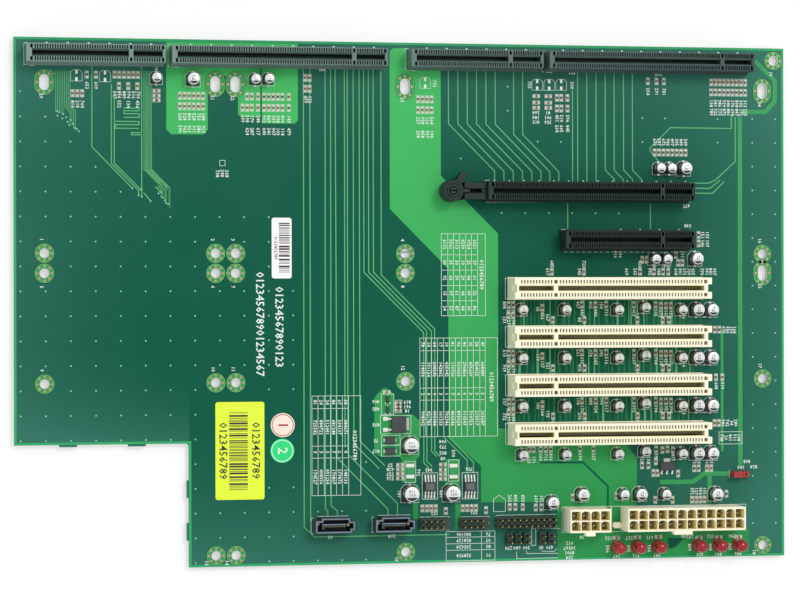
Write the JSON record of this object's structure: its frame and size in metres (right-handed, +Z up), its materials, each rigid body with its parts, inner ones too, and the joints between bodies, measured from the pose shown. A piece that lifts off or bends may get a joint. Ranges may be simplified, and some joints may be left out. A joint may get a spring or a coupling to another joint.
{
  "type": "backplane board",
  "caption": "Flat passive backplane board with a corner notch, rows of card slots, power headers, pin headers, indicator lamps and capacitors.",
  "frame": {"origin": "under the middle of the board's outline, at the tips of the solder tails that it lies on", "axes": "+X along the host card row to the right, +Y towards the host card row, +Z up from the component side"},
  "size_m": [0.3264, 0.217, 0.0179],
  "materials": {
    "green_board": "solder-masked glass-epoxy laminate, dark green, satin gloss",
    "black_plastic": "moulded glass-filled plastic, black, matt",
    "ivory_plastic": "moulded plastic, ivory, satin",
    "gold_contact": "stamped contact strip, flash gold over nickel",
    "gold_pin": "drawn square pin, flash gold",
    "tinned_pin": "drawn square pin, tinned",
    "can_metal": "drawn aluminium can, bright, with a dark polarity mark",
    "base_plastic": "moulded plastic base, black",
    "red_lens": "tinted epoxy lens, red",
    "red_plastic": "moulded plastic, red",
    "chip_plastic": "moulded epoxy, black, matt",
    "tinned_tab": "tinned copper tab",
    "fuse_green": "coated polymer chip, green, with tinned ends",
    "white_paper": "paper label, white",
    "yellow_paper": "paper label, yellow",
    "pink_paper": "paper sticker, pale pink",
    "green_paper": "paper sticker, bright green"
  },
  "bodies": {
    "backplane": {"aux_power_housing": "ivory_plastic", "aux_power_pins": "tinned_pin", "barcode_label": "white_paper", "board": "green_board", "bus_slot_1_contacts": "gold_contact", "bus_slot_1_housing": "ivory_plastic", "bus_slot_2_contacts": "gold_contact", "bus_slot_2_housing": "ivory_plastic", "bus_slot_3_contacts": "gold_contact", "bus_slot_3_housing": "ivory_plastic", "bus_slot_4_contacts": "gold_contact", "bus_slot_4_housing": "ivory_plastic", "control_header_base": "black_plastic", "control_header_pins": "gold_pin", "diodes": "chip_plastic", "drive_port_1_housing": "black_plastic", "drive_port_2_housing": "black_plastic", "drive_port_contacts": "gold_contact", "driver_chips": "chip_plastic", "green_sticker": "green_paper", "host_slot_a_contacts": "gold_contact", "host_slot_a_housing": "black_plastic", "host_slot_b_contacts": "gold_contact", "host_slot_b_housing": "black_plastic", "host_slot_c_contacts": "gold_contact", "host_slot_c_housing": "black_plastic", "host_slot_d_contacts": "gold_contact", "host_slot_d_housing": "black_plastic", "jumper_cap": "red_plastic", "large_capacitor_bases": "base_plastic", "large_capacitor_cans": "can_metal", "latch_bracket": "black_plastic", "led_lenses": "red_lens", "long_slot_contacts": "gold_contact", "long_slot_housing": "black_plastic", "main_power_housing": "ivory_plastic", "main_power_pins": "tinned_pin", "medium_capacitor_bases": "base_plastic", "medium_capacitor_cans": "can_metal", "pink_sticker": "pink_paper", "port_header_1_base": "black_plastic", "port_header_2_base": "black_plastic", "port_header_pins": "gold_pin", "resettable_fuses": "fuse_green", "selector_base": "black_plastic", "selector_pins": "gold_pin", "short_slot_contacts": "gold_contact", "short_slot_housing": "black_plastic", "small_capacitor_bases": "base_plastic", "small_capacitor_cans": "can_metal", "transistor_tabs": "tinned_tab", "transistors": "chip_plastic", "two_pin_header_bases": "black_plastic", "two_pin_header_pins": "gold_pin", "yellow_label": "yellow_paper"},
    "latch": {"latch_lever": "black_plastic"}
  },
  "joints": [
    {"name": "latch_swing", "type": "hinge", "parent": "backplane", "child": "latch", "pos_m": [0.0169, 0.0466, 0.0034], "axis": [0, 0, 1], "range_deg": [0, 35], "stiffness_Nm_per_rad": 0.01}
  ]
}
